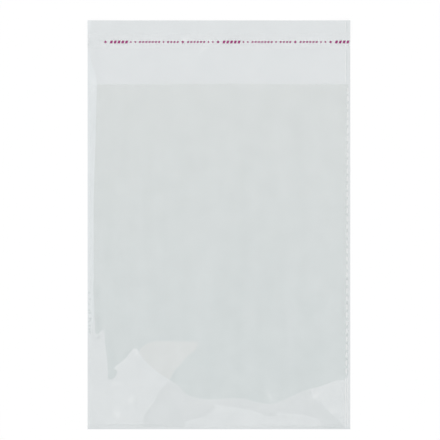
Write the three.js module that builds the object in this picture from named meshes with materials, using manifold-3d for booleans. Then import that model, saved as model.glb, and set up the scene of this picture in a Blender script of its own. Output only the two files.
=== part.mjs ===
// A flat clear film bag with a self-seal flap, lying empty on its back panel.
// Millimetres, +Z up. X runs across the bag, +Y runs from the bottom fold to the flap,
// and the underside of the back panel is at z = 0, with the origin in the middle of the bag.

import * as THREE from 'three';
import { mergeVertices } from 'three/addons/utils/BufferGeometryUtils.js';
import Module from 'manifold-3d';

const wasm = await Module();
wasm.setup();

// Driving dimensions.
const BAG_WIDTH = 160; // across the bag, over both side welds
const BODY_LENGTH = 210; // from the bottom fold to the mouth
const FLAP_LENGTH = 39; // from the mouth to the free edge of the flap
const FILM = 0.05; // thickness of the film
const WELD_WIDTH = 1.2; // width of the melted land along each side
const WELD_THICKNESS = 0.2; // both layers with the melted bead between them, at the welds and the fold
const FOLD_LAND = 1; // length over which the bottom fold is pressed flat
const LOFT = 7; // height that the front panel bows up over the back panel
const LOFT_RISE = 90; // distance from the fold at which the air space has its full height

const ADHESIVE_WIDTH = 6;
const ADHESIVE_THICKNESS = 0.06;
const LINER_WIDTH = 9; // the liner overhangs the adhesive, so that a finger can lift it
const LINER_THICKNESS = 0.06;
const SEAL_INSET = 12.5; // from the free edge of the flap to the middle of the adhesive

const COLUMNS = 18; // facets across the bag, of which the outermost two are the welds
const ROWS = 15; // facets along the body, of which the first is the pressed fold
const FOLD_STEPS = 4; // facets round the bottom fold
const OVERRUN = 2; // how far a cut or a join runs past the face that it works on

// Places that follow from the dimensions.
const bagLength = BODY_LENGTH + FLAP_LENGTH;
const halfWidth = BAG_WIDTH / 2;
const bottomY = -bagLength / 2;
const mouthY = bottomY + BODY_LENGTH;
const flapEdgeY = bagLength / 2;
const foldRadius = WELD_THICKNESS / 2;
const foldInnerY = bottomY + foldRadius + FOLD_LAND;
const weldInnerX = halfWidth - WELD_WIDTH;

// The film is clear with a faint cool grey, the adhesive is water clear, and the liner is a pale film.
function filmMaterial() {
  return new THREE.MeshStandardMaterial({
    color: 0xdee2e3, roughness: 0.12, metalness: 0, transparent: true, opacity: 0.25,
  });
}

function adhesiveMaterial() {
  return new THREE.MeshStandardMaterial({
    color: 0xe2e6e6, roughness: 0.35, metalness: 0, transparent: true, opacity: 0.3,
  });
}

function linerMaterial() {
  return new THREE.MeshStandardMaterial({
    color: 0xe0e4e6, roughness: 0.3, metalness: 0, transparent: true, opacity: 0.4,
  });
}

// A closed geometry as a solid that can be joined.
function toSolid(geometry) {
  const bare = geometry.clone();
  bare.deleteAttribute('normal');
  bare.deleteAttribute('uv');
  const merged = mergeVertices(bare, 1e-5);
  return new wasm.Manifold(new wasm.Mesh({
    numProp: 3,
    vertProperties: new Float32Array(merged.attributes.position.array),
    triVerts: new Uint32Array(merged.index.array),
  }));
}

// A joined solid as a geometry.
function toGeometry(solid) {
  const mesh = solid.getMesh();
  const geometry = new THREE.BufferGeometry();
  geometry.setAttribute('position', new THREE.BufferAttribute(mesh.vertProperties, 3));
  geometry.setIndex(new THREE.BufferAttribute(mesh.triVerts, 1));
  geometry.computeVertexNormals();
  return geometry;
}

// A closed block of facets whose corners are put in place by a function of the column, row and layer.
function bentBlock(columns, rows, layers, place) {
  const geometry = new THREE.BoxGeometry(columns, rows, layers, columns, rows, layers);
  const position = geometry.attributes.position;
  for (let i = 0; i < position.count; i += 1) {
    const column = Math.round(position.getX(i) + columns / 2);
    const row = Math.round(position.getY(i) + rows / 2);
    const layer = Math.round(position.getZ(i) + layers / 2);
    position.setXYZ(i, ...place(column, row, layer));
  }
  return geometry;
}

// Lines that divide the open span of the bag evenly, across from weld to weld and along from the fold.
function spanX(step) {
  return -weldInnerX + (2 * weldInnerX * step) / (COLUMNS - 2);
}

function spanY(step) {
  return foldInnerY + ((mouthY - foldInnerY) * step) / (ROWS - 1);
}

// How far the front panel bows up at a point: across the bag it is the bow of a strip that is held at
// both welds, and along the bag it grows from the fold to its full height, which it keeps to the mouth.
function bow(x, y) {
  const across = Math.abs(x) < weldInnerX ? Math.cos((Math.PI / 2) * (x / weldInnerX)) : 0;
  const fromFold = Math.min(Math.max((y - foldInnerY) / LOFT_RISE, 0), 1);
  return LOFT * across * Math.sin((Math.PI / 2) * fromFold);
}

// The body of the bag as one block: flat underneath, bowed on top, thin along the welds, and with a
// round outer edge where the film turns back on itself at the bottom fold.
function bodyBlock() {
  return bentBlock(COLUMNS, ROWS, FOLD_STEPS, (column, row, layer) => {
    const share = layer / FOLD_STEPS;
    let x = spanX(column - 1);
    if (column === 0 || column === COLUMNS) {
      x = column === 0 ? -halfWidth : halfWidth;
    }
    if (row === 0) {
      const turn = Math.PI * (share - 0.5);
      const y = bottomY + foldRadius * (1 - Math.cos(turn));
      return [x, y, foldRadius * (1 + Math.sin(turn))];
    }
    const y = spanY(row - 1);
    return [x, y, share * (WELD_THICKNESS + bow(x, y))];
  });
}

// The air space between the panels, from the fold out through the mouth.
function airSpace() {
  return bentBlock(COLUMNS - 2, ROWS, 1, (column, row, layer) => {
    const x = spanX(column);
    const y = row < ROWS ? spanY(row) : mouthY + OVERRUN;
    const ceiling = WELD_THICKNESS - FILM + bow(x, y);
    return [x, y, layer === 0 ? FILM : ceiling];
  });
}

// The flap: the back panel runs on past the mouth.
function flapSheet() {
  const length = FLAP_LENGTH + OVERRUN;
  const geometry = new THREE.BoxGeometry(BAG_WIDTH, length, FILM);
  geometry.translate(0, flapEdgeY - length / 2, FILM / 2);
  return geometry;
}

// The whole film: back panel with the flap, bottom fold, front panel and both side welds in one piece.
function filmBag() {
  return toGeometry(toSolid(bodyBlock()).add(toSolid(flapSheet())).subtract(toSolid(airSpace())));
}

// One strip of the seal, right across the flap.
function sealStrip(width, thickness) {
  return new THREE.BoxGeometry(BAG_WIDTH, width, thickness);
}

const bag = new THREE.Group();

const film = new THREE.Mesh(filmBag(), filmMaterial());
film.name = 'film_bag';
bag.add(film);

const seal = new THREE.Group();
seal.position.set(0, flapEdgeY - SEAL_INSET, FILM);
bag.add(seal);

const adhesive = new THREE.Mesh(sealStrip(ADHESIVE_WIDTH, ADHESIVE_THICKNESS), adhesiveMaterial());
adhesive.name = 'adhesive_strip';
adhesive.position.z = ADHESIVE_THICKNESS / 2;
seal.add(adhesive);

const liner = new THREE.Mesh(sealStrip(LINER_WIDTH, LINER_THICKNESS), linerMaterial());
liner.name = 'release_liner';
liner.position.z = ADHESIVE_THICKNESS + LINER_THICKNESS / 2;
seal.add(liner);

export default bag;
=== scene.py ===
# %% [markdown]
# # A clear film bag with a peel-off flap
# The bag is one long strip of clear film, folded at the foot, welded along both sides and left open at
# the mouth. The back runs past the mouth as a flap, which carries a strip of glue under a peel-off liner.
# Blender adds what a drawing of the sizes can't show: air caught between the films, places where they
# cling, creases, welds and gloss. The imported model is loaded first, and it fixes every size and place.

# %% Load the frame
import math

import bmesh
import bpy
import numpy as np
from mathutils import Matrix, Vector


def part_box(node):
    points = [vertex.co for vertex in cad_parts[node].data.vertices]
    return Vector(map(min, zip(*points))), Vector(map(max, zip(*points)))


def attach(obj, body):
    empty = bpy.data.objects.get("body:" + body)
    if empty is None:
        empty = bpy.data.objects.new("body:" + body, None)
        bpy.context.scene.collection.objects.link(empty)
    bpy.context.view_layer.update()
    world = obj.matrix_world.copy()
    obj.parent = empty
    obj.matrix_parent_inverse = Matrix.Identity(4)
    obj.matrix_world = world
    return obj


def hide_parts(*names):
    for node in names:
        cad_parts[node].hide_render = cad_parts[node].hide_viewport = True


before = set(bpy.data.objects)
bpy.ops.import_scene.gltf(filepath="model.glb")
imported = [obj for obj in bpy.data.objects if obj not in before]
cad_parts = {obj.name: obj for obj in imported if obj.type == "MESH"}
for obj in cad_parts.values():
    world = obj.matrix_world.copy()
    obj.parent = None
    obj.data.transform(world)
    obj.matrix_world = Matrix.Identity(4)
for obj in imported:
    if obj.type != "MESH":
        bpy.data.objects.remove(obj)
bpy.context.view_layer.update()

print("frame nodes:", sorted(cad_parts))

# %% [markdown]
# Film is far thinner than it is wide, so the sizes are easier to read in millimetres. The bag is worked
# out in millimetres and turned into metres where Blender needs them. The outer sizes come from the
# frame, and only what a box can't tell is written here: the film, the welds and the mouth.

# %% Sizes of the bag, in millimetres
MM = 0.001
FILM = 0.05
WELD_WIDTH = 1.2
WELD_GAP = 0.1
FOLD_LAND = 1.1
BODY_LENGTH = 210.0

bag_low, bag_high = [np.array(corner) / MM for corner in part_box("film_bag")]
left_x, right_x = bag_low[0], bag_high[0]
fold_y, flap_end_y = bag_low[1], bag_high[1]
loft = bag_high[2] - 2 * FILM - WELD_GAP
mouth_y = fold_y + BODY_LENGTH
weld_left_x = left_x + WELD_WIDTH
weld_right_x = right_x - WELD_WIDTH
pouch_foot_y = fold_y + FOLD_LAND
print(f"bag {right_x - left_x:.1f} x {flap_end_y - fold_y:.1f} mm, loft {loft:.2f} mm")

# %% [markdown]
# The eye reads a clear bag by its pale and dark fields. Where the two films cling they act as one and
# look pale, and where air parts them there are more surfaces and the field is darker. The edge of the
# air pocket is therefore the strongest line on the bag. It is written in stretches, because some of them
# are used again below. Each point is in millimetres from the left edge and above the fold.

# %% Outline of the air pocket
ABOVE_MOUTH = 260.0
LEFT_EDGE = [(5.65, 210.0), (5.1, 188.0), (3.7, 140.0), (3.6, 95.0), (3.5, 82.0), (4.0, 73.0)]
LEFT_CORNER = [
    (4.4, 65.5), (4.7, 58.4), (5.5, 57.4), (6.9, 58.6), (8.4, 60.0), (10.2, 60.9), (10.3, 57.5),
    (10.6, 53.5), (11.2, 48.2), (11.8, 43.0), (12.2, 37.0), (12.8, 34.0), (11.9, 31.8), (13.0, 30.5),
    (15.2, 30.4), (17.0, 32.0), (18.5, 35.0), (16.1, 37.3), (18.8, 39.6), (20.9, 41.4), (23.4, 43.5),
    (25.5, 46.3), (27.0, 48.1), (28.7, 49.5), (30.1, 48.7), (32.8, 45.4), (34.6, 42.0), (37.4, 39.3),
    (41.0, 36.2), (44.4, 33.5), (47.7, 31.7),
]
FOOT_SLANT = [
    (50.2, 29.8), (53.8, 27.7), (56.6, 25.3), (58.4, 22.2), (61.1, 20.7), (64.8, 19.2), (69.7, 18.3),
]
FOOT_WAVE = [
    (75.2, 18.0), (80.6, 18.4), (89.2, 18.9), (96.5, 18.6), (98.9, 17.3), (106.2, 15.8), (111.1, 15.0),
    (114.8, 15.9), (118.4, 17.3), (122.1, 19.0), (125.7, 20.6), (128.2, 22.0), (131.8, 23.4), (136.1, 24.9),
]
RIGHT_CORNER = [
    (140.3, 25.6), (144.0, 26.8), (147.7, 28.3), (150.7, 29.6), (152.5, 30.1), (156.2, 29.8), (157.2, 31.1),
    (159.4, 34.0),
]
POCKET_OUTLINE = [(5.7, ABOVE_MOUTH)] + LEFT_EDGE + LEFT_CORNER + FOOT_SLANT + FOOT_WAVE + RIGHT_CORNER
POCKET_OUTLINE += [(159.4, ABOVE_MOUTH)]
print("pocket outline points:", len(POCKET_OUTLINE))

# %% [markdown]
# At the foot the clinging films lie folded over each other in flat facets. Their darker tone is painted
# shade, darker again in the deep shade facets. One lighter facet over the air is a painted reflection of
# the back film, and a pale band runs up the left edge. Bright spots are painted highlights and shade spots
# are painted shade, where the film tips towards the light or away from it. Each spot is a soft ellipse:
# its place, half width, half length and turn in radians.

# %% Facets, spots and creases
LEFT_FOLD = [(33.7, 0.9), (34.2, 7.6), (35.6, 10.0), (38.6, 13.7), (41.3, 18.0)]
RIGHT_FOLD = [(145.2, 12.5), (148.3, 9.4), (151.9, 6.4), (155.9, 2.4), (155.9, 0.9)]
SLANT_UNDERSIDE = [
    (73.3, 17.2), (77.0, 15.2), (77.9, 13.4), (75.2, 10.3), (70.3, 7.3), (63.6, 6.1), (58.7, 4.2),
    (58.4, 0.9),
]
WAVE_UNDERSIDE = [
    (142.8, 0.9), (141.6, 5.5), (137.9, 7.0), (131.2, 9.0), (123.3, 9.7), (117.2, 10.2), (114.8, 9.4),
    (112.3, 8.0), (107.4, 8.6), (103.8, 10.3), (100.1, 11.6), (95.3, 12.5), (89.2, 13.4), (81.9, 14.3),
    (77.0, 15.8),
]
# Painted shade: the facets at the foot are darker than the clinging film around them.
SHADED_FACETS = [
    FOOT_SLANT + SLANT_UNDERSIDE + LEFT_FOLD + [(42.9, 22.2), (46.5, 26.5)],
    FOOT_SLANT[-1:] + FOOT_WAVE + [(137.0, 18.6), (142.2, 16.7)] + RIGHT_FOLD + WAVE_UNDERSIDE,
]
# Deeper painted shade in the darkest facets.
DEEP_SHADE_FACETS = [
    LEFT_FOLD + [(46.5, 18.6), (51.4, 17.8), (54.4, 14.3), (56.9, 10.6), (58.3, 5.8), (58.3, 0.9)],
    [(131.2, 12.5), (136.1, 14.6), (141.9, 16.7)] + RIGHT_FOLD
    + [(147.7, 0.9), (144.6, 5.8), (141.0, 8.5), (131.2, 9.2)],
    [(4.9, 54.4), (5.4, 56.2), (7.4, 56.9), (7.8, 55.4), (6.4, 54.2)],
]
# Painted reflection: a lighter facet of the back film, seen through the air.
REFLECTION_FACET = [
    (31.0, 45.5), (32.3, 49.3), (36.6, 52.4), (42.0, 53.9), (67.8, 53.4), (66.0, 48.4), (62.4, 45.7),
    (58.7, 42.3), (55.7, 38.7), (52.6, 35.3), (50.8, 31.7), (45.9, 23.4), (38.0, 11.9), (32.5, 2.7),
    (29.5, 2.7),
]
BAND_EDGE = [(-6.0, 40.0), (2.6, 62.0)] + LEFT_EDGE[::-1] + [
    (5.2, 215.5), (3.0, 221.0), (1.2, 228.0), (-1.0, 234.0), (-1.0, 239.0), (1.2, 242.0), (2.4, 249.0),
]
# Painted highlights.
GLINTS = [
    (26.4, 17.6, 1.6, 2.4, 1.3), (17.9, 9.1, 2.0, 3.4, 2.0), (110.8, 20.4, 1.2, 3.6, -1.05),
    (29.8, 46.6, 1.2, 3.2, -1.1), (17.0, 27.7, 1.4, 3.0, 0.0), (139.1, 20.4, 1.6, 3.0, 0.6),
    (148.6, 11.3, 1.3, 2.6, -0.9), (17.3, 37.8, 1.0, 2.2, 0.5), (59.3, 237.3, 1.0, 6.0, 0.6),
    (72.1, 233.6, 0.9, 5.0, 0.9), (3.4, 209.0, 1.7, 6.5, 1.57),
]
# Painted shade spots.
SHADE_SPOTS = [
    (85.5, 5.8, 1.6, 3.2, 0.3), (37.1, 10.6, 0.9, 1.6, 0.9), (110.5, 8.9, 0.7, 3.2, -0.1),
    (151.9, 1.8, 0.9, 4.2, 0.0), (6.3, 55.7, 0.8, 1.4, 0.2), (6.2, 84.0, 2.0, 4.0, 1.57),
    (6.6, 64.5, 2.0, 6.0, 1.57), (13.8, 45.0, 2.6, 13.0, 1.65), (13.6, 32.6, 1.4, 2.2, 1.2),
    (22.8, 44.5, 0.9, 2.6, 0.8), (52.6, 31.7, 0.9, 3.0, 1.0), (2.4, 236.5, 2.2, 4.5, 1.57),
]
CREASES = [
    [(67.8, 53.3), (50.8, 30.1), (42.3, 19.2), (31.9, 2.1)],
    [(78.2, 16.4), (98.9, 12.0), (112.3, 8.9), (119.0, 10.9), (129.4, 9.7), (146.4, 9.4)],
    [(140.3, 22.8), (146.4, 11.9), (156.2, 1.5)],
]
print("spots:", len(GLINTS) + len(SHADE_SPOTS))

# %% [markdown]
# Every place on the film needs to know how far it is from these lines. The distance counts as positive
# inside an outline and negative outside, so zero is the edge itself.

# %% Distances from lines and outlines


def from_corner(points):
    """Millimetres from the left edge and above the fold, as x and y in the bag's frame."""
    return np.array(points) + (left_x, fold_y)


def distance_to_line(x, y, points):
    """Distance from each place to the nearest point of an open line."""
    nearest = np.full(x.shape, np.inf)
    for (ax, ay), (bx, by) in zip(points[:-1], points[1:]):
        along_x, along_y = bx - ax, by - ay
        share = ((x - ax) * along_x + (y - ay) * along_y) / (along_x**2 + along_y**2)
        share = np.clip(share, 0, 1)
        nearest = np.minimum(nearest, np.hypot(x - ax - share * along_x, y - ay - share * along_y))
    return nearest


def inside(x, y, points):
    """True for each place inside the closed outline."""
    crossings = np.zeros(x.shape, dtype=int)
    for (ax, ay), (bx, by) in zip(points, np.roll(points, -1, axis=0)):
        spans = (ay > y) != (by > y)
        rise = by - ay if by != ay else 1.0
        crossings += spans & (x < ax + (y - ay) * (bx - ax) / rise)
    return crossings % 2 == 1


def depth_inside(x, y, outline, closed=True):
    """Distance in from an outline, negative outside it."""
    points = from_corner(outline)
    line = np.vstack([points, points[:1]]) if closed else points
    distance = distance_to_line(x, y, line)
    return np.where(inside(x, y, points), distance, -distance)


# %% [markdown]
# The front film bulges over the air pocket like a low pillow. A cloth simulation could blow it up, but
# the pocket's edge would move, and that edge is what the eye knows. So the gap between the films is a
# formula instead: it rises from the pocket's edge and levels out, with low ridges along the creases,
# small puckers beside the welds and slow waves in the loose part. The flap's free end curls up slightly.

# %% Smooth steps and uneven waves
WAVE_PARTS = 5


def ease(value):
    """A smooth step from 0 to 1."""
    value = np.clip(value, 0, 1)
    return value * value * (3 - 2 * value)


def uneven(along, pitch, seed):
    """A smooth wave from about -1 to 1 that never quite repeats."""
    draw = np.random.default_rng(seed)
    total = np.zeros(np.shape(along))
    for _ in range(WAVE_PARTS):
        length = pitch * draw.uniform(0.6, 1.7)
        total = total + np.sin(2 * math.pi * (along / length + draw.uniform()))
    return total / 3


def soften(height, passes):
    """Averages each place with its neighbours, to round off sharp ridges."""
    for _ in range(passes):
        padded = np.pad(height, 1, mode="edge")
        across = padded[1:-1, :-2] + padded[1:-1, 2:]
        along = padded[:-2, 1:-1] + padded[2:, 1:-1]
        height = (2 * height + across + along) / 6
    return height


# %% How far apart the films are
DOME_REACH = 62.0
SOFTEN_PASSES = 24
SOFTEN_FROM = 2.0
SOFTEN_REACH = 14.0
CREASE_HEIGHT = 0.4
CREASE_WIDTH = 1.8
CREASE_FADE = 5.0
PUCKER_HEIGHT = 0.5
PUCKER_PITCH = 7.5
PUCKER_REACH = 6.0
PUCKER_RISE = 3.0
PUCKER_FADE = 12.0
PUCKER_SEEDS = (3, 8)
WAVE_HEIGHT = 0.3
WAVE_PITCH = 26.0
WAVE_FROM = 5.0
WAVE_REACH = 20.0
WAVE_SEEDS = (5, 11)


def pocket_dome(depth):
    """The pillow over the air pocket, from the distance in from the pocket's edge."""
    dome = loft * np.sin(math.pi / 2 * np.clip(depth / DOME_REACH, 0, 1)) ** 2
    return dome + (soften(dome, SOFTEN_PASSES) - dome) * ease((depth - SOFTEN_FROM) / SOFTEN_REACH)


def crease_ridges(x, y, to_foot):
    """Low ridges along the creases, which fade towards the fold."""
    ridges = np.zeros(x.shape)
    for crease in CREASES:
        away = distance_to_line(x, y, from_corner(crease))
        ridges = ridges + CREASE_HEIGHT * np.exp(-((away / CREASE_WIDTH) ** 2)) * ease(to_foot / CREASE_FADE)
    return ridges


def weld_puckers(x, y, to_weld, to_foot):
    """Small puckers beside the welds, which shrink as they cool."""
    left_wave, right_wave = [uneven(y, PUCKER_PITCH, seed) for seed in PUCKER_SEEDS]
    pucker = np.clip(np.where(x < 0, left_wave, right_wave), 0, 1)
    near_weld = ease(to_weld / PUCKER_RISE) * np.exp(-to_weld / PUCKER_REACH)
    return PUCKER_HEIGHT * pucker * near_weld * ease(to_foot / PUCKER_FADE)


def loose_waves(x, y, depth, gap):
    """Slow waves in the loose film, smaller near the pocket's edge and on top of the pillow."""
    across = uneven(x + 5 * np.sin(y / 38.0), WAVE_PITCH, WAVE_SEEDS[0])
    along = uneven(y + x / 3, 3 * WAVE_PITCH, WAVE_SEEDS[1])
    below_top = ease((loft - gap) / 1.5 + 0.35)
    return WAVE_HEIGHT * (across + 0.5 * along) * ease((depth - WAVE_FROM) / WAVE_REACH) * below_top


def film_gap(x, y):
    """Distance between the two films over the body, on a grid of places."""
    depth = depth_inside(x, y, POCKET_OUTLINE, closed=False)
    to_weld = np.minimum(x - weld_left_x, weld_right_x - x)
    to_foot = y - pouch_foot_y
    gap = pocket_dome(depth) + crease_ridges(x, y, to_foot) + weld_puckers(x, y, to_weld, to_foot)
    gap = gap + loose_waves(x, y, depth, gap)
    gap = np.where((to_weld <= 0) | (to_foot <= 0), 0, gap)
    return WELD_GAP + np.clip(gap, 0, loft)


# %% How far the flap curls up
FLAP_CURL = 0.5
CORNER_CURL = 1.3
CORNER_REACH = 14.0


def flap_lift(x, y):
    """How far the back film stands off the table: nothing under the body, a slight curl at the flap."""
    up_flap = np.clip((y - mouth_y) / (flap_end_y - mouth_y), 0, 1)
    roll = FLAP_CURL * up_flap**3 * (0.55 + 0.45 * np.cos(x / 27.0 + 0.8))
    corner = np.exp(-((np.hypot(right_x - np.abs(x), flap_end_y - y) / CORNER_REACH) ** 2))
    return roll + CORNER_CURL * corner * up_flap**2


print("flap corner stands", round(float(flap_lift(right_x, flap_end_y)), 2), "mm off the table")

# %% [markdown]
# The film is modelled as real film: two closed skins 0.05 mm apart, so light meets every surface that it
# would meet on the bag. The mesh is sewn from flat patches, each a grid of points: the underside, the top,
# the two walls of the air space, the flap, the welds and the round fold. Patches that meet share their
# edge points, and merging those points closes the mesh without any boolean cut.

# %% Helpers that sew patches into a closed mesh
MERGE_DISTANCE = 0.002
FILM_SHARP_DEGREES = 40


def put_in_scene(name, data):
    """A new object in the scene, for a mesh, a lamp or the camera."""
    holder = bpy.data.objects.new(name, data)
    bpy.context.scene.collection.objects.link(holder)
    return holder


def round_off(mesh, sharp_degrees):
    """Shades a mesh smoothly, apart from its sharp edges."""
    mesh.shade_smooth()
    mesh.set_sharp_from_angle(angle=math.radians(sharp_degrees))


def merge_points(mesh):
    """Joins points that lie together, turns the faces outwards and counts the open edges."""
    sewn = bmesh.new()
    sewn.from_mesh(mesh)
    bmesh.ops.remove_doubles(sewn, verts=sewn.verts, dist=MERGE_DISTANCE * MM)
    bmesh.ops.recalc_face_normals(sewn, faces=sewn.faces)
    open_edges = sum(1 for edge in sewn.edges if len(edge.link_faces) != 2)
    sewn.to_mesh(mesh)
    sewn.free()
    return open_edges


def grid_patch(x, y, z):
    """A patch as rows of points, from three arrays of one shape."""
    x, y, z = np.broadcast_arrays(x, y, z)
    return np.stack([x, y, z], axis=-1).astype(float)


def grid_faces(rows, columns, start):
    """The four-cornered faces of a patch whose points are numbered from start."""
    index = start + np.arange(rows * columns).reshape(rows, columns)
    quads = np.stack([index[:-1, :-1], index[:-1, 1:], index[1:, 1:], index[1:, :-1]], axis=-1)
    return quads.reshape(-1, 4).tolist()


def sew(name, patches, caps=(), in_back=None):
    """Joins patches into one closed piece. in_back is 1 for a patch of the back film and 0 for the front."""
    points = []
    faces = []
    back_faces = []
    start = 0
    for number, patch in enumerate(patches):
        rows, columns = patch.shape[:2]
        patch_faces = grid_faces(rows, columns, start)
        faces += patch_faces
        back_faces += [in_back[number] if in_back else 0.0] * len(patch_faces)
        points.append(patch.reshape(-1, 3))
        start += rows * columns
    for cap in caps:
        faces.append(list(range(start, start + len(cap))))
        back_faces.append(1.0)
        points.append(np.array(cap, dtype=float))
        start += len(cap)
    mesh = bpy.data.meshes.new(name)
    mesh.from_pydata((np.vstack(points) * MM).tolist(), [], faces)
    if in_back:
        mesh.attributes.new("back_film", "FLOAT", "FACE").data.foreach_set("value", back_faces)
    open_edges = merge_points(mesh)
    round_off(mesh, FILM_SHARP_DEGREES)
    print(f"{name}: {len(mesh.polygons)} faces, {open_edges} edges not shared by two faces")
    return put_in_scene(name, mesh)


# %% Places on the film
GRID = 1.5
LAND_POINTS = 3


def even_steps(start, end, spacing):
    """Evenly spaced values from start to end, about that far apart."""
    return np.linspace(start, end, int(round((end - start) / spacing)) + 1)


inner_x = even_steps(weld_left_x, weld_right_x, GRID)
left_land = np.linspace(left_x, weld_left_x, LAND_POINTS)
right_land = np.linspace(weld_right_x, right_x, LAND_POINTS)
all_x = np.concatenate([left_land[:-1], inner_x, right_land[1:]])
over_pouch = slice(LAND_POINTS - 1, LAND_POINTS - 1 + len(inner_x))
fold_radius = (WELD_GAP + 2 * FILM) / 2
body_y = np.concatenate([[fold_y + fold_radius], even_steps(pouch_foot_y, mouth_y, GRID)])
pouch_y = body_y[1:]
flap_y = even_steps(mouth_y, flap_end_y, GRID)
weld_z = np.array([0.0, FILM, FILM + WELD_GAP, 2 * FILM + WELD_GAP])
film_z = np.array([[0.0, FILM]])
print("points across and along:", len(all_x), len(body_y) + len(flap_y))

# %% Sew the film bag
FOLD_STEPS = 10


def body_patches():
    """The body's patches of back film and of front film. The welds and the fold count as back film."""
    x, y = np.meshgrid(all_x, body_y)
    gap = film_gap(x, y)
    top = grid_patch(x, y, 2 * FILM + gap)
    x_pouch, y_pouch = np.meshgrid(inner_x, pouch_y)
    pouch_gap = gap[1:, over_pouch]
    rim = FILM + pouch_gap[-1][:, None] + film_z
    back = [
        grid_patch(x, y, 0.0),
        top[:, :LAND_POINTS],
        top[:, -LAND_POINTS:],
        top[:2, over_pouch],
        grid_patch(x_pouch, y_pouch, FILM),
    ]
    front = [
        top[1:, over_pouch],
        grid_patch(x_pouch, y_pouch, FILM + pouch_gap),
        grid_patch(inner_x[:, None], mouth_y, rim),
    ]
    return back, front


def flap_patches():
    """The flap's two skins, its free end and its side edges."""
    x, y = np.meshgrid(all_x, flap_y)
    lift = flap_lift(x, y)
    end_lift = flap_lift(all_x, np.full(all_x.shape, flap_end_y))
    patches = [
        grid_patch(x, y, lift),
        grid_patch(x, y, lift + FILM),
        grid_patch(all_x[:, None], flap_end_y, end_lift[:, None] + film_z),
    ]
    for edge_x in (left_x, right_x):
        edge_lift = flap_lift(np.full(flap_y.shape, edge_x), flap_y)
        patches.append(grid_patch(edge_x, flap_y[:, None], edge_lift[:, None] + film_z))
    return patches


def weld_patches():
    """The outer edges and the ends of the welds, and the walls that close the air space."""
    patches = [grid_patch(inner_x[:, None], pouch_foot_y, weld_z[None, 1:3])]
    for edge_x, wall_x, land in ((left_x, weld_left_x, left_land), (right_x, weld_right_x, right_land)):
        patches.append(grid_patch(edge_x, body_y[:, None], weld_z[None, :]))
        patches.append(grid_patch(land[:, None], mouth_y, weld_z[None, 1:]))
        patches.append(grid_patch(wall_x, pouch_y[:, None], weld_z[None, 1:3]))
    return patches


def fold_patch_and_caps():
    """The round fold at the foot, and the two caps that close its ends."""
    turn = np.linspace(-math.pi / 2, -3 * math.pi / 2, FOLD_STEPS + 1)
    round_y = body_y[0] + fold_radius * np.cos(turn)
    round_z = fold_radius + fold_radius * np.sin(turn)
    caps = []
    for edge_x in (left_x, right_x):
        arc = [(edge_x, y, z) for y, z in zip(round_y, round_z)]
        caps.append(arc + [(edge_x, body_y[0], z) for z in weld_z[2:0:-1]])
    return grid_patch(all_x[None, :], round_y[:, None], round_z[:, None]), caps


back_patches, front_patches = body_patches()
fold_patch, fold_caps = fold_patch_and_caps()
back_patches += flap_patches() + weld_patches() + [fold_patch]
back_flags = [1.0] * len(back_patches) + [0.0] * len(front_patches)
film_bag = sew("clear_film_bag", back_patches + front_patches, fold_caps, back_flags)

# %% [markdown]
# The material has to know how far each point lies from the pocket's edge and from the facets. Each of
# these distances is kept on the mesh's points as a number in millimetres. A shader that cuts at zero
# then draws a sharp edge between the points, much finer than the mesh itself.

# %% Keep the distances on the film
# How strong the painted shade spots are against the painted highlights.
SHADE_SHARE = 0.6

film_points = np.empty(len(film_bag.data.vertices) * 3)
film_bag.data.vertices.foreach_get("co", film_points)
film_x, film_y = film_points.reshape(-1, 3)[:, :2].T / MM
band_x, band_y = from_corner(BAND_EDGE).T


def deepest(outlines):
    """Distance in from the nearest of several closed outlines, at each point of the film."""
    return np.max([depth_inside(film_x, film_y, outline) for outline in outlines], axis=0)


def soft_spots(spots):
    """1 at the middle of each long soft spot, fading to 0; the largest where they overlap."""
    total = np.zeros(film_x.shape)
    for from_left, above, across, along, turn in spots:
        x_away = film_x - left_x - from_left
        y_away = film_y - fold_y - above
        run = x_away * math.cos(turn) + y_away * math.sin(turn)
        side = y_away * math.cos(turn) - x_away * math.sin(turn)
        total = np.maximum(total, np.exp(-((run / along) ** 2) - (side / across) ** 2))
    return total


kept_numbers = {
    "pocket_depth": depth_inside(film_x, film_y, POCKET_OUTLINE, closed=False),
    "reflection_facet_depth": deepest([REFLECTION_FACET]),
    "shaded_depth": deepest(SHADED_FACETS),
    "deep_shade_depth": deepest(DEEP_SHADE_FACETS),
    "band_depth": np.interp(film_y, band_y, band_x) - film_x,
    # Painted highlights count up from zero and painted shade spots count down.
    "glint_and_shade": soft_spots(GLINTS) - SHADE_SHARE * soft_spots(SHADE_SPOTS),
}
for name, values in kept_numbers.items():
    layer = film_bag.data.attributes.new(name, "FLOAT", "POINT")
    layer.data.foreach_set("value", values.astype(np.float32))
    print(f"{name}: from {values.min():.2f} to {values.max():.2f}")

# %% [markdown]
# Clear film takes a little light each time light passes a surface, and mirrors a little more. A mix of a
# Transparent and a Glossy shader says just that, and a Fresnel node sets the share of gloss, which grows
# at a glancing angle. Principled glass would bend light that a film this thin doesn't bend. The light
# that each surface takes is the finish's whole colour: little in clinging film, more over the air.

# %% Node helpers
WHITE = (1.0, 1.0, 1.0, 1.0)


def node(tree, kind, inputs=None, **settings):
    """Adds a node, sets its options, and sets or links its inputs by name or number."""
    made = tree.nodes.new(kind)
    for key, value in settings.items():
        setattr(made, key, value)
    for key, value in (inputs or {}).items():
        if isinstance(value, bpy.types.NodeSocket):
            tree.links.new(value, made.inputs[key])
        else:
            made.inputs[key].default_value = value
    return made


def new_material(name, surface, *values):
    """A material with the surface that a function makes in its node tree."""
    material = bpy.data.materials.new(name)
    material.use_nodes = True
    tree = material.node_tree
    tree.nodes.clear()
    node(tree, "ShaderNodeOutputMaterial", {"Surface": surface(tree, *values)})
    return material


def object_place(tree):
    """The place of each point of a surface, in metres in the bag's frame."""
    return node(tree, "ShaderNodeTexCoord").outputs["Object"]


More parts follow.
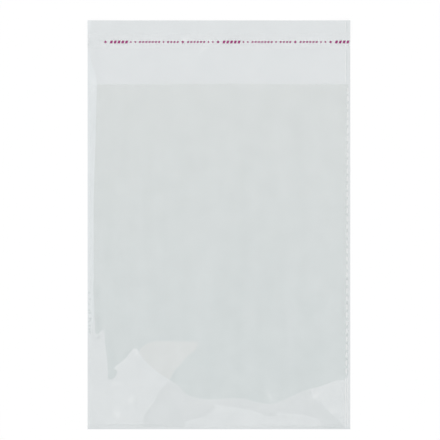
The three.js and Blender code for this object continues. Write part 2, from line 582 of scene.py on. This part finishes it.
def kept_number(tree, name):
    """A number that was kept on the mesh."""
    return node(tree, "ShaderNodeAttribute", attribute_name=name).outputs["Fac"]


def calculate(tree, operation, *values):
    """One step of arithmetic on numbers or sockets."""
    return node(tree, "ShaderNodeMath", dict(enumerate(values)), operation=operation).outputs[0]


def map_range(tree, value, start, end, low=0.0, high=1.0, smooth=False):
    """Turns the range from start to end into the range from low to high."""
    inputs = {"Value": value, "From Min": start, "From Max": end, "To Min": low, "To Max": high}
    how = "SMOOTHSTEP" if smooth else "LINEAR"
    return node(tree, "ShaderNodeMapRange", inputs, interpolation_type=how).outputs["Result"]


def noise(tree, place, scale, detail=2.0, distortion=0.0):
    """A soft random number about 0.5; scale is about how many clouds fit in a metre."""
    inputs = {"Vector": place, "Scale": scale, "Detail": detail, "Distortion": distortion}
    return node(tree, "ShaderNodeTexNoise", inputs).outputs["Fac"]


def blend_colours(tree, share, first, second, how="MIX"):
    """A colour between two others; each may be a socket or three numbers."""
    inputs = {0: share}
    for number, value in ((6, first), (7, second)):
        inputs[number] = value if isinstance(value, bpy.types.NodeSocket) else (*value, 1.0)
    return node(tree, "ShaderNodeMix", inputs, data_type="RGBA", blend_type=how).outputs[2]


def multiply_colours(tree, first, second):
    """The product of two colours."""
    return blend_colours(tree, 1.0, first, second, "MULTIPLY")


def blend_shaders(tree, share, first, second):
    """A surface between two others."""
    return node(tree, "ShaderNodeMixShader", {0: share, 1: first, 2: second}).outputs[0]


def outer_gloss(tree, ior, roughness, **bent):
    """A gloss shader and its share, which is nothing on a film's inner side. bent may give a Normal."""
    gloss = node(tree, "ShaderNodeBsdfGlossy", {"Color": WHITE, "Roughness": roughness, **bent})
    fresnel = node(tree, "ShaderNodeFresnel", {"IOR": ior, **bent})
    inner = node(tree, "ShaderNodeNewGeometry").outputs["Backfacing"]
    outer = calculate(tree, "SUBTRACT", 1.0, inner)
    return gloss.outputs[0], calculate(tree, "MULTIPLY", fresnel.outputs[0], outer)


# %% Edges and levels on the film
EDGE_BLUR = {"pocket_depth": 0.3, "band_depth": 0.35, "reflection_facet_depth": 0.4, "shaded_depth": 0.5,
             "deep_shade_depth": 0.7}


def cut_at_zero(tree, name):
    """0 outside and 1 inside an outline, from its depth in millimetres, over a short blur."""
    return map_range(tree, kept_number(tree, name), -EDGE_BLUR[name], EDGE_BLUR[name], smooth=True)


def noise_level(tree, place, scale, levels):
    """A level about 1 that wanders between two levels."""
    return map_range(tree, noise(tree, place, scale), 0.3, 0.7, *levels)


def level_ramp(tree, position, start, length, stops):
    """A grey level along a line of the bag: stops are (millimetres from the start, level)."""
    share = map_range(tree, position, start * MM, (start + length) * MM)
    ramp = node(tree, "ShaderNodeValToRGB", {"Fac": share})
    points = ramp.color_ramp.elements
    while len(points) < len(stops):
        points.new(0.5)
    for point, (place, level) in zip(points, stops):
        point.position = place / length
    for point, (place, level) in zip(points, stops):
        point.color = (level, level, level, 1.0)
    return ramp.outputs["Color"]


# %% [markdown]
# The back film takes nearly the same light all over, with slightly other levels along the edges and the
# fold. The front film tells where it clings and where there is air behind it, and there it has faint
# streaks along the way that the film was drawn.

# %% Light that the film takes
BACK_LOSS = (0.1315, 0.1175, 0.1120)
AIR_LOSS_MOUTH = (0.0460, 0.0410, 0.0475)
AIR_LOSS_FOOT = (0.0685, 0.0540, 0.0575)
FOOT_LEVEL_Y = 42.0
# Painted reflection: less light taken where the back film's facet shows through the air.
REFLECTION_FACET_LOSS = (0.0420, 0.0390, 0.0450)
CLING_LOSS = (0.0235, 0.0195, 0.0203)
# Painted shade on the foot's facets, and darker painted shade on the deepest ones.
SHADED_LOSS = (0.0430, 0.0375, 0.0385)
DEEP_SHADE_LOSS = (0.0470, 0.0405, 0.0415)
STREAK_STRETCH = (110.0, 9.0, 20.0)
STREAK_LEVELS = (0.93, 1.07)
BAND_LEVEL = (0.905, 0.875, 0.855)
ACROSS_LEVELS = [(0.0, 1.0), (5.3, 1.03), (11.0, 1.0), (156.4, 1.0), (156.8, 0.975), (157.4, 1.03),
                 (158.8, 1.06)]
FOLD_LEVELS = [(0.0, 1.3), (0.5, 1.18), (1.2, 1.08), (2.2, 1.03), (2.8, 1.06), (3.2, 0.93), (3.9, 1.0)]
FOLD_LEVELS_REACH = 5.0


def front_film_loss(tree, place, along):
    """What the front film takes over the air and where it clings, with painted reflection and shade."""
    down = map_range(tree, along, mouth_y * MM, (fold_y + FOOT_LEVEL_Y) * MM)
    over_air = blend_colours(tree, down, AIR_LOSS_MOUTH, AIR_LOSS_FOOT)
    # Painted reflection of the back film's facet.
    over_air = blend_colours(tree, cut_at_zero(tree, "reflection_facet_depth"), over_air, REFLECTION_FACET_LOSS)
    stretched = node(tree, "ShaderNodeMapping", {"Vector": place, "Scale": STREAK_STRETCH}).outputs[0]
    over_air = multiply_colours(tree, over_air, noise_level(tree, stretched, 1.0, STREAK_LEVELS))
    # Painted shade on the foot's facets.
    clinging = blend_colours(tree, cut_at_zero(tree, "shaded_depth"), CLING_LOSS, SHADED_LOSS)
    clinging = blend_colours(tree, cut_at_zero(tree, "deep_shade_depth"), clinging, DEEP_SHADE_LOSS)
    return blend_colours(tree, cut_at_zero(tree, "pocket_depth"), clinging, over_air)


def back_film_loss(tree, across, along):
    """What the back film takes, with its own levels along the sides, the fold and the left band."""
    sides = level_ramp(tree, across, left_x, right_x - left_x, ACROSS_LEVELS)
    fold = level_ramp(tree, along, fold_y, FOLD_LEVELS_REACH, FOLD_LEVELS)
    loss = multiply_colours(tree, multiply_colours(tree, BACK_LOSS, sides), fold)
    banded = multiply_colours(tree, loss, BAND_LEVEL)
    return blend_colours(tree, cut_at_zero(tree, "band_depth"), loss, banded)


# %% Clear film
GLINT_LEVEL = 0.83
CLOUD_SCALE = 70.0
CLOUD_LEVELS = (0.965, 1.035)
FILM_GLOSS_IOR = 1.75
FILM_ROUGHNESS = 0.05
CRINKLE_SCALE = 38.0
CRINKLE_TWIST = 0.8
CRINKLE_HEIGHT = 0.3


def clear_film(tree):
    """Film whose tint tells clinging film from film with air behind it."""
    place = object_place(tree)
    axes = node(tree, "ShaderNodeSeparateXYZ", {0: place}).outputs
    front_loss = front_film_loss(tree, place, axes["Y"])
    back_loss = back_film_loss(tree, axes["X"], axes["Y"])
    loss = blend_colours(tree, kept_number(tree, "back_film"), front_loss, back_loss)
    # Painted highlights and painted shade: the film takes less light at the glints and more at the shade
    # spots.
    spots = map_range(tree, kept_number(tree, "glint_and_shade"), -1.0, 1.0, 2.0 - GLINT_LEVEL, GLINT_LEVEL)
    loss = multiply_colours(tree, loss, spots)
    loss = multiply_colours(tree, loss, noise_level(tree, place, CLOUD_SCALE, CLOUD_LEVELS))
    passed = node(tree, "ShaderNodeVectorMath", {0: (1.0, 1.0, 1.0), 1: loss}, operation="SUBTRACT")
    clear = node(tree, "ShaderNodeBsdfTransparent", {"Color": passed.outputs[0]})
    crinkle = noise(tree, place, CRINKLE_SCALE, distortion=CRINKLE_TWIST)
    bump = node(tree, "ShaderNodeBump", {"Height": crinkle, "Distance": CRINKLE_HEIGHT * MM})
    gloss, share = outer_gloss(tree, FILM_GLOSS_IOR, FILM_ROUGHNESS, Normal=bump.outputs[0])
    return blend_shaders(tree, share, clear.outputs[0], gloss)


film_bag.data.materials.append(new_material("clear_film", clear_film))
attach(film_bag, "root")
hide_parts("film_bag")
print("film material nodes:", len(film_bag.data.materials[0].node_tree.nodes))

# %% [markdown]
# The closure is two more strips on the flap: a thin line of soft glue, and a liner that covers it until
# the bag is closed. Both are sheets on the curled flap, so they are made on the flap's own height. The
# liner is wider than the glue and its long edges are free, so they stand up very slightly.

# %% The glue strip and its liner
STRIP_GRID = 0.75
LINER_EDGE_LIFT = 0.08
LINER_STUCK_SHARE = 0.66
RIPPLE_HEIGHT = 0.02


def slab_patches(x, y, under, over):
    """The six sides of a thin sheet between two heights given on the same grid of places."""
    bottom = grid_patch(x, y, under)
    top = grid_patch(x, y, over)
    ends = [np.stack([bottom[row], top[row]]) for row in (0, -1)]
    sides = [np.stack([bottom[:, column], top[:, column]]) for column in (0, -1)]
    return [bottom, top] + ends + sides


def strip_places(node_name):
    """The grid of places that a strip covers, and its two heights, from its box in the frame."""
    low, high = [np.array(corner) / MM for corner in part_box(node_name)]
    x, y = np.meshgrid(even_steps(low[0], high[0], GRID), even_steps(low[1], high[1], STRIP_GRID))
    return x, y, low[2], high[2]


glue_x, glue_y, glue_low, glue_high = strip_places("adhesive_strip")
liner_x, liner_y, liner_low, liner_high = strip_places("release_liner")


def liner_rise(x, y):
    """The liner's own ripple and its slightly raised long edges."""
    across = np.abs(2 * (y - liner_y.min()) / (liner_y.max() - liner_y.min()) - 1)
    free_edge = ease((across - LINER_STUCK_SHARE) / (1 - LINER_STUCK_SHARE))
    ripple = RIPPLE_HEIGHT * (1 + np.sin(x / 5.3 + 1.1 * np.sin(x / 17.0)))
    return LINER_EDGE_LIFT * free_edge * (0.6 + 0.4 * np.sin(x / 13.0)) + ripple


glue_lift = flap_lift(glue_x, glue_y)
glue_patches = slab_patches(glue_x, glue_y, glue_lift + glue_low, glue_lift + glue_high)
adhesive = sew("adhesive_strip_clear", glue_patches)

liner_lift = flap_lift(liner_x, liner_y) + liner_rise(liner_x, liner_y)
liner_patches = slab_patches(liner_x, liner_y, liner_lift + liner_low, liner_lift + liner_high)
liner = sew("release_liner_film", liner_patches)

# %% [markdown]
# Glue and liner are clear too, so they get the same kind of mix as the film, with a breath of grainy
# haze: glue is never quite as smooth as film, and a peel-off liner is slightly satin.

# %% Finishes of the glue and the liner
MILK = (0.9, 0.9, 0.9, 1.0)
GRAIN_SCALE = 900.0
GRAIN_DETAIL = 3.0
HAZE_SPREAD = (0.4, 1.6)


def clear_strip(tree, passes, gloss_ior, roughness, haze):
    """A clear strip: mostly see-through, with its own gloss and a breath of milky haze."""
    clear = node(tree, "ShaderNodeBsdfTransparent", {"Color": (*passes, 1.0)})
    milk = node(tree, "ShaderNodeBsdfDiffuse", {"Color": MILK})
    grain = noise(tree, object_place(tree), GRAIN_SCALE, GRAIN_DETAIL)
    cloud = map_range(tree, grain, 0.0, 1.0, *[level * haze for level in HAZE_SPREAD])
    body = blend_shaders(tree, cloud, clear.outputs[0], milk.outputs[0])
    gloss, share = outer_gloss(tree, gloss_ior, roughness)
    return blend_shaders(tree, share, body, gloss)


# Each row is a strip, its node and slot, the light that it passes, and its gloss, roughness and haze.
STRIPS = [
    (adhesive, "adhesive_strip", "adhesive", (0.9993, 0.9993, 0.9990), 1.05, 0.2, 0.003),
    (liner, "release_liner", "liner_film", (0.9990, 0.9990, 0.9992), 1.3, 0.12, 0.008),
]
for piece, node_name, slot_name, *finish in STRIPS:
    piece.data.materials.append(new_material(slot_name, clear_strip, *finish))
    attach(piece, "root")
    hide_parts(node_name)
    print(f"{piece.name}: finished as {slot_name}")

# %% [markdown]
# A liner like this is printed with a fine line of ink along its length, so that the user sees which film
# to peel. Here it is a plain row of slanted bars, dots and lozenges. Each mark is a thin solid of ink
# that follows the liner's height, so it sits on the film from every side.

# %% Shapes of the printed marks
MARK_HEIGHT = 1.75
BLOCK_WIDTH = 1.5
BLOCK_SLANT = 0.55
SMALL_SIDE = 1.12
SMALL_SLANT = 0.25
DOT_WIDTH = 1.1
DOT_SIDES = 14
LOZENGE_WIDTH = 2.0


def bar_outline(width, height, slant):
    """A slanted bar."""
    half = height / 2
    return [(0, -half), (width, -half), (width + slant, half), (slant, half)]


def round_outline(width, height, sides):
    """A round dot, or a lozenge if it has four sides."""
    angles = [2 * math.pi * step / sides for step in range(sides)]
    return [(width / 2 * (1 + math.cos(angle)), height / 2 * math.sin(angle)) for angle in angles]


MARK_OUTLINES = {
    "block": bar_outline(BLOCK_WIDTH, MARK_HEIGHT, BLOCK_SLANT),
    "small": bar_outline(SMALL_SIDE, SMALL_SIDE, SMALL_SLANT),
    "dot": round_outline(DOT_WIDTH, DOT_WIDTH, DOT_SIDES),
    "lozenge": round_outline(LOZENGE_WIDTH, MARK_HEIGHT, 4),
}
print("kinds of mark:", len(MARK_OUTLINES))

# %% The row of printed marks
MARK_ROW_Y = 111.35
MARK_START = 9.9
MARK_EDGE = 0.3
MARK_GAP = 1.6
GROUP_GAP = 0.8
INK = 0.012
MARK_PITCH = {"block": 2.3, "small": 1.95, "dot": DOT_WIDTH + MARK_GAP, "lozenge": LOZENGE_WIDTH + MARK_GAP}
MARK_CYCLE = ["lozenge"] + 5 * ["block"] + 2 * ["dot"] + 7 * ["small"] + ["dot"] + 4 * ["small"]
MARK_CYCLE += ["lozenge"] + 6 * ["small"] + 2 * ["dot"]


def mark_row():
    """Outlines of every mark from the first to the right edge."""
    outlines = []
    at = left_x + MARK_START
    before = None
    number = 0
    while at < right_x:
        kind = MARK_CYCLE[number % len(MARK_CYCLE)]
        if before in ("block", "small") and kind != before:
            at += GROUP_GAP
        outlines.append([(at + x, MARK_ROW_Y + y) for x, y in MARK_OUTLINES[kind]])
        at += MARK_PITCH[kind]
        before = kind
        number += 1
    return [outline for outline in outlines if max(x for x, y in outline) < right_x - MARK_EDGE]


def liner_top(x, y):
    """Height of the liner's upper surface at one place."""
    place = np.array([x]), np.array([y])
    return float((flap_lift(*place) + liner_rise(*place))[0]) + liner_high


def mark_rings(outline):
    """The lower and the upper outline of one ink mark on the liner."""
    return [[(x, y, liner_top(x, y) + raise_by) for x, y in outline] for raise_by in (-INK / 2, INK)]


def tubes_piece(name, tubes):
    """A piece made of closed tubes, each given as a row of rings of points."""
    points = []
    faces = []
    for rings in tubes:
        start = len(points)
        sides = len(rings[0])
        points += [(x * MM, y * MM, z * MM) for ring in rings for x, y, z in ring]
        for number in range(len(rings) - 1):
            for step in range(sides):
                here = start + number * sides + step
                beside = start + number * sides + (step + 1) % sides
                faces.append([here, beside, beside + sides, here + sides])
        faces.append(list(range(start, start + sides))[::-1])
        faces.append(list(range(len(points) - sides, len(points))))
    mesh = bpy.data.meshes.new(name)
    mesh.from_pydata(points, [], faces)
    return put_in_scene(name, mesh)


# %% Ink
INK_DARK = (0.205, 0.005, 0.092)
INK_LIGHT = (0.350, 0.013, 0.182)
INK_PATCH_SCALE = 1100.0
INK_ROUGHNESS = 0.45


def plum_ink(tree):
    """Thin plum ink, a little uneven where the roller printed lightly."""
    patchy = noise(tree, object_place(tree), INK_PATCH_SCALE)
    colour = blend_colours(tree, patchy, INK_DARK, INK_LIGHT)
    inputs = {"Base Color": colour, "Roughness": INK_ROUGHNESS}
    return node(tree, "ShaderNodeBsdfPrincipled", inputs).outputs[0]


mark_outlines = mark_row()
marks = tubes_piece("liner_marks", [mark_rings(outline) for outline in mark_outlines])
marks.data.materials.append(new_material("plum_ink", plum_ink))
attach(marks, "root")
print("printed marks:", len(mark_outlines))

# %% [markdown]
# A hot wire cuts and welds the sides, and the melted film gathers in a fine bead beside the edge. On the
# right it shows as a row of short pale dashes that runs slightly askew, and as two plain lines at the
# foot. On the left a few small tucks were caught in the weld. They are raised beads on the film's own
# height, made as one short tube each, because bump alone wouldn't show at the edge or in the mesh.

# %% Helpers that lay beads on the film
BEAD_SIDES = 8
BEAD_SUNK = -0.3
BEAD_SHARP_DEGREES = 50
END_TAPER = 0.25
TAPER_SHARE = 0.2


def film_top(x, y):
    """Height of the bag's upper surface at one place."""
    place = np.array([[x]]), np.array([[y]])
    top = FILM + flap_lift(*place) if y > mouth_y else 2 * FILM + film_gap(*place)
    return float(top[0, 0])


def bead_taper(share):
    """The share of a bead's full width and height, less near its ends."""
    near_end = min(share, 1 - share, TAPER_SHARE) / TAPER_SHARE
    return END_TAPER + (1 - END_TAPER) * math.sin(math.pi / 2 * near_end)


def bead_rings(path, width, height):
    """The rings of one bead along a path: a flat tube with tapered ends."""
    rings = []
    for number, (x, y) in enumerate(path):
        run_x, run_y = path[min(number + 1, len(path) - 1)] - path[max(number - 1, 0)]
        length = math.hypot(run_x, run_y)
        side_x, side_y = run_y / length, -run_x / length
        taper = bead_taper(number / (len(path) - 1))
        base = film_top(x, y)
        ring = []
        for step in range(BEAD_SIDES):
            turn = 2 * math.pi * step / BEAD_SIDES
            across = taper * width / 2 * math.cos(turn)
            up = taper * height * max(math.sin(turn), BEAD_SUNK)
            ring.append((x + side_x * across, y + side_y * across, base + up))
        rings.append(ring)
    return rings


def beads_piece(name, runs, width, height):
    """A piece made of several beads, each a path in millimetres from the left edge and the fold."""
    piece = tubes_piece(name, [bead_rings(from_corner(run), width, height) for run in runs])
    round_off(piece.data, BEAD_SHARP_DEGREES)
    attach(piece, "root")
    print(f"{name}: {len(runs)} beads")
    return piece


# %% Paths of the dashes, knots, lines and tucks
WELD_LINE = [(157.6, 33.0), (157.8, 54.5), (158.2, 164.0), (158.5, 209.0)]
DASH_START = 33.65
DASH_PITCH = 4.88
DASH_LENGTH = 3.6
DASH_POINTS = 7
KNOT_TOP = 130.0
KNOT_MARGIN = 0.15
KNOT_OFFSET = 0.25
KNOT_POINTS = 5
LINE_STEP = 1.0
TUCK_SPAN = (59.0, 83.0)
TUCK_POINTS = 6
TUCK_SEED = 4
weld_line_x, weld_line_y = np.array(WELD_LINE).T


def weld_run(low, length, count, inwards=0.0):
    """A short path up the right weld's line."""
    heights = np.linspace(low, low + length, count)
    return list(zip(np.interp(heights, weld_line_y, weld_line_x) - inwards, heights))


def dash_runs():
    """The pale dashes up the right weld."""
    starts = np.arange(DASH_START, weld_line_y[-1] - DASH_LENGTH, DASH_PITCH)
    return [weld_run(low, DASH_LENGTH, DASH_POINTS) for low in starts]


def knot_runs():
    """The short knots between the lower dashes; their dark grey is painted shade in the gaps."""
    gap = DASH_PITCH - DASH_LENGTH
    starts = np.arange(DASH_START - gap + KNOT_MARGIN, KNOT_TOP, DASH_PITCH)
    return [weld_run(low, gap - 2 * KNOT_MARGIN, KNOT_POINTS, KNOT_OFFSET) for low in starts]


def line_runs(lines):
    """Plain lines through a few corners each, with points close enough to follow the film."""
    runs = []
    for corners in lines:
        corner_x, corner_y = np.array(corners).T
        lengths = np.concatenate([[0.0], np.cumsum(np.hypot(np.diff(corner_x), np.diff(corner_y)))])
        steps = even_steps(0.0, lengths[-1], LINE_STEP)
        runs.append(list(zip(np.interp(steps, lengths, corner_x), np.interp(steps, lengths, corner_y))))
    return runs


def left_tuck_runs():
    """Small slanted tucks caught in the left weld, unevenly spaced."""
    draw = np.random.default_rng(TUCK_SEED)
    runs = []
    low = TUCK_SPAN[0]
    while low < TUCK_SPAN[1]:
        inner = draw.uniform(0.1, 0.7)
        reach = draw.uniform(0.7, 1.8)
        tilt = draw.uniform(-0.7, 1.0)
        runs.append([(inner + reach * share, low + tilt * share) for share in np.linspace(0, 1, TUCK_POINTS)])
        low += draw.uniform(1.5, 3.9)
    return runs


print("dashes:", len(dash_runs()))

# %% Melted film
MELT_SCALE = 1300.0
MELT_CONTRAST = 0.07
MELT_HEIGHT = 0.03
MELT_ROUGHNESS = (0.25, 0.45)


def melted_film(tree, colour):
    """Melted film gone milky, a little uneven in tone, gloss and height; darker colours paint shade in
    creases.
    """
    melt = noise(tree, object_place(tree), MELT_SCALE)
    darker = [level * (1 - MELT_CONTRAST) for level in colour]
    paler = [level * (1 + MELT_CONTRAST) for level in colour]
    tone = blend_colours(tree, melt, darker, paler)
    rough = map_range(tree, melt, 0.0, 1.0, *MELT_ROUGHNESS)
    bump = node(tree, "ShaderNodeBump", {"Height": melt, "Distance": MELT_HEIGHT * MM})
    inputs = {"Base Color": tone, "Roughness": rough, "Normal": bump.outputs[0]}
    return node(tree, "ShaderNodeBsdfPrincipled", inputs).outputs[0]


milky_film = new_material("milky_film", melted_film, (0.710, 0.728, 0.728))
pale_film = new_material("pale_film", melted_film, (0.760, 0.775, 0.778))
# Painted shade: a darker grey for the creases and for the gaps between the weld's dashes.
crease_shade_film = new_material("crease_shade_film", melted_film, (0.630, 0.665, 0.668))
# Painted shade in the small tucks of the left weld.
tuck_shade_film = new_material("tuck_shade_film", melted_film, (0.575, 0.618, 0.618))
print("melted finish nodes:", len(milky_film.node_tree.nodes))

# %% Weld beads and creases
BODY_BEAD = 0.1
FLAP_BEAD = 0.04
FOOT_LINES = [[(157.2, 1.4), (157.2, 31.0)], [(158.4, 1.4), (158.4, 32.0)]]
FLAP_STRETCHES = [(211.0, 231.5), (241.5, 248.5)]
FLAP_LINES = [[(157.1, low), (157.1, high)] for low, high in FLAP_STRETCHES]
FLAP_CREASES = [[(157.75, low), (157.75, high)] for low, high in FLAP_STRETCHES]
FOLD_CREASES = [[(6.0, 2.5), (26.0, 2.6), (48.0, 2.5)], [(112.0, 1.3), (136.0, 1.2), (156.5, 1.0)],
                [(146.0, 0.7), (156.0, 0.6)]]

# Each row is a piece's name, the paths of its beads, their width and height, and their finish.
BEAD_PIECES = [
    ("right_weld_bead", dash_runs(), 1.1, BODY_BEAD, milky_film),
    ("right_weld_foot_lines", line_runs(FOOT_LINES), 0.5, BODY_BEAD, pale_film),
    # The knots, tucks and creases carry a darker grey that paints their shade.
    ("right_weld_shade_knots", knot_runs(), 0.55, BODY_BEAD, crease_shade_film),
    ("left_weld_tucks", left_tuck_runs(), 0.95, BODY_BEAD, tuck_shade_film),
    ("fold_creases", line_runs(FOLD_CREASES), 0.3, BODY_BEAD, crease_shade_film),
    ("flap_weld_lines", line_runs(FLAP_LINES), 0.4, FLAP_BEAD, pale_film),
    ("flap_creases", line_runs(FLAP_CREASES), 0.35, FLAP_BEAD, crease_shade_film),
]
for name, runs, width, height, finish in BEAD_PIECES:
    bead = beads_piece(name, runs, width, height)
    bead.data.materials.append(finish)

# %% [markdown]
# The floor is a plain white table. The bag hardly hides it, so the table's light coming back through the
# film is most of what is seen. Most of its white is its own, and the rest is lit paint, which keeps the
# bag's shadow.

# %% Floor
FLOOR_SIDE = 30.0
FLOOR_BELOW = 0.00002
FLOOR_PAINT = (0.97, 0.97, 0.97, 1.0)
WHITE_SHARE = 0.75


def white_table(tree):
    """White paint that looks white from everywhere."""
    paint = node(tree, "ShaderNodeBsdfDiffuse", {"Color": FLOOR_PAINT})
    white = node(tree, "ShaderNodeEmission", {"Color": WHITE, "Strength": 1.0})
    rays = node(tree, "ShaderNodeLightPath").outputs
    seen = calculate(tree, "MAXIMUM", rays["Is Camera Ray"], rays["Is Glossy Ray"])
    seen = calculate(tree, "MAXIMUM", seen, rays["Is Transmission Ray"])
    share = calculate(tree, "MULTIPLY", seen, WHITE_SHARE)
    return blend_shaders(tree, share, paint.outputs[0], white.outputs[0])


def white_floor():
    """A wide white table top, its surface at the bag's underside."""
    half = FLOOR_SIDE / 2
    corners = [(-half, -half, 0), (half, -half, 0), (half, half, 0), (-half, half, 0)]
    mesh = bpy.data.meshes.new("floor")
    mesh.from_pydata(corners, [], [(0, 1, 2, 3)])
    mesh.materials.append(new_material("white_table", white_table))
    floor = put_in_scene("floor", mesh)
    floor.location.z = -FLOOR_BELOW


white_floor()
print("floor:", FLOOR_SIDE, "m square")

# %% [markdown]
# The sky is pale overhead and greyer at the horizon, as in a small studio. Its soft windows give the film
# something to mirror from the side. The lamps stand well off to the sides, so that none of them is
# mirrored straight up at a camera above.

# %% Sky
SKY_TOP = (1.18, 1.18, 1.18)
SKY_HORIZON = (0.42, 0.425, 0.435)
SKY_TOP_HEIGHT = 0.9
WINDOWS = 9
WINDOW_TURN = 0.6
WINDOW_LIGHT = 0.45
WINDOW_EDGE = (0.7, 0.95)
WINDOW_SILL = (0.05, 0.12)
WINDOW_HEAD = (0.40, 0.55)


def window_glow(tree, axes):
    """A ring of soft panes of light, a little above the horizon."""
    around = calculate(tree, "ARCTAN2", axes["Y"], axes["X"])
    wave = calculate(tree, "SINE", calculate(tree, "MULTIPLY_ADD", around, WINDOWS, WINDOW_TURN))
    pane = map_range(tree, wave, *WINDOW_EDGE, high=WINDOW_LIGHT, smooth=True)
    rise = map_range(tree, axes["Z"], *WINDOW_SILL)
    fall = map_range(tree, axes["Z"], *WINDOW_HEAD, low=1.0, high=0.0)
    return calculate(tree, "MULTIPLY", calculate(tree, "MULTIPLY", rise, fall), pane)


def studio_sky():
    """A sky that is palest overhead, with a ring of windows."""
    world = bpy.data.worlds.new("studio_sky")
    world.use_nodes = True
    tree = world.node_tree
    direction = node(tree, "ShaderNodeTexCoord").outputs["Generated"]
    axes = node(tree, "ShaderNodeSeparateXYZ", {0: direction}).outputs
    share = map_range(tree, axes["Z"], 0.0, SKY_TOP_HEIGHT)
    colour = blend_colours(tree, share, SKY_HORIZON, SKY_TOP)
    colour = blend_colours(tree, 1.0, colour, window_glow(tree, axes), "ADD")
    tree.links.new(colour, tree.nodes["Background"].inputs["Color"])
    bpy.context.scene.world = world


studio_sky()
print("sky windows:", WINDOWS)

# %% Lamps
BOX_SIZE = (0.5, 0.35)
BOX_LAMPS = {"right_box": ((1.25, 0.35, 0.75), 0.45), "left_box": ((-1.3, -0.3, 0.7), 0.4)}
STRIP_LAMPS = 8
STRIP_SIZE = (0.05, 0.9)
STRIP_POWER = 0.2
STRIP_DISTANCE = 1.4
STRIP_HEIGHT = 0.65
STRIP_TURN = 0.3


def soft_lamp(name, place, size, power):
    """A flat lamp that faces the bag."""
    lamp = bpy.data.lights.new(name, "AREA")
    lamp.shape = "RECTANGLE"
    lamp.size, lamp.size_y = size
    lamp.energy = power
    holder = put_in_scene(name, lamp)
    holder.location = place
    holder.rotation_euler = (-Vector(place)).to_track_quat("-Z", "Y").to_euler()


for name, (place, power) in BOX_LAMPS.items():
    soft_lamp(name, place, BOX_SIZE, power)
for number in range(STRIP_LAMPS):
    turn = 2 * math.pi * (number + STRIP_TURN) / STRIP_LAMPS
    place = (STRIP_DISTANCE * math.cos(turn), STRIP_DISTANCE * math.sin(turn), STRIP_HEIGHT)
    soft_lamp(f"strip_{number}", place, STRIP_SIZE, STRIP_POWER)
print("lamps:", len(BOX_LAMPS) + STRIP_LAMPS)

# %% [markdown]
# The camera hangs high above the bag with a long lens. Light from the table passes many skins of film on
# its way up, and Blender counts each one, so the number of see-through layers it may pass is raised.

# %% Camera and view
CAMERA_HEIGHT = 1.7
VIEW_WIDTH = 0.26805
VIEW_CENTRE = (0.00064, 0.00292)
SENSOR = 36.0
CLEAR_LAYERS = 32


def camera_above():
    """A long lens straight above the bag, with the flap at the top of the picture."""
    lens = bpy.data.cameras.new("camera")
    lens.sensor_width = SENSOR
    lens.lens = SENSOR * CAMERA_HEIGHT / VIEW_WIDTH
    holder = put_in_scene("camera", lens)
    holder.location = (*VIEW_CENTRE, CAMERA_HEIGHT)
    bpy.context.scene.camera = holder


camera_above()
bpy.context.scene.view_settings.view_transform = "Standard"
bpy.context.scene.cycles.transparent_max_bounces = CLEAR_LAYERS
print(f"camera lens: {bpy.context.scene.camera.data.lens:.0f} mm")
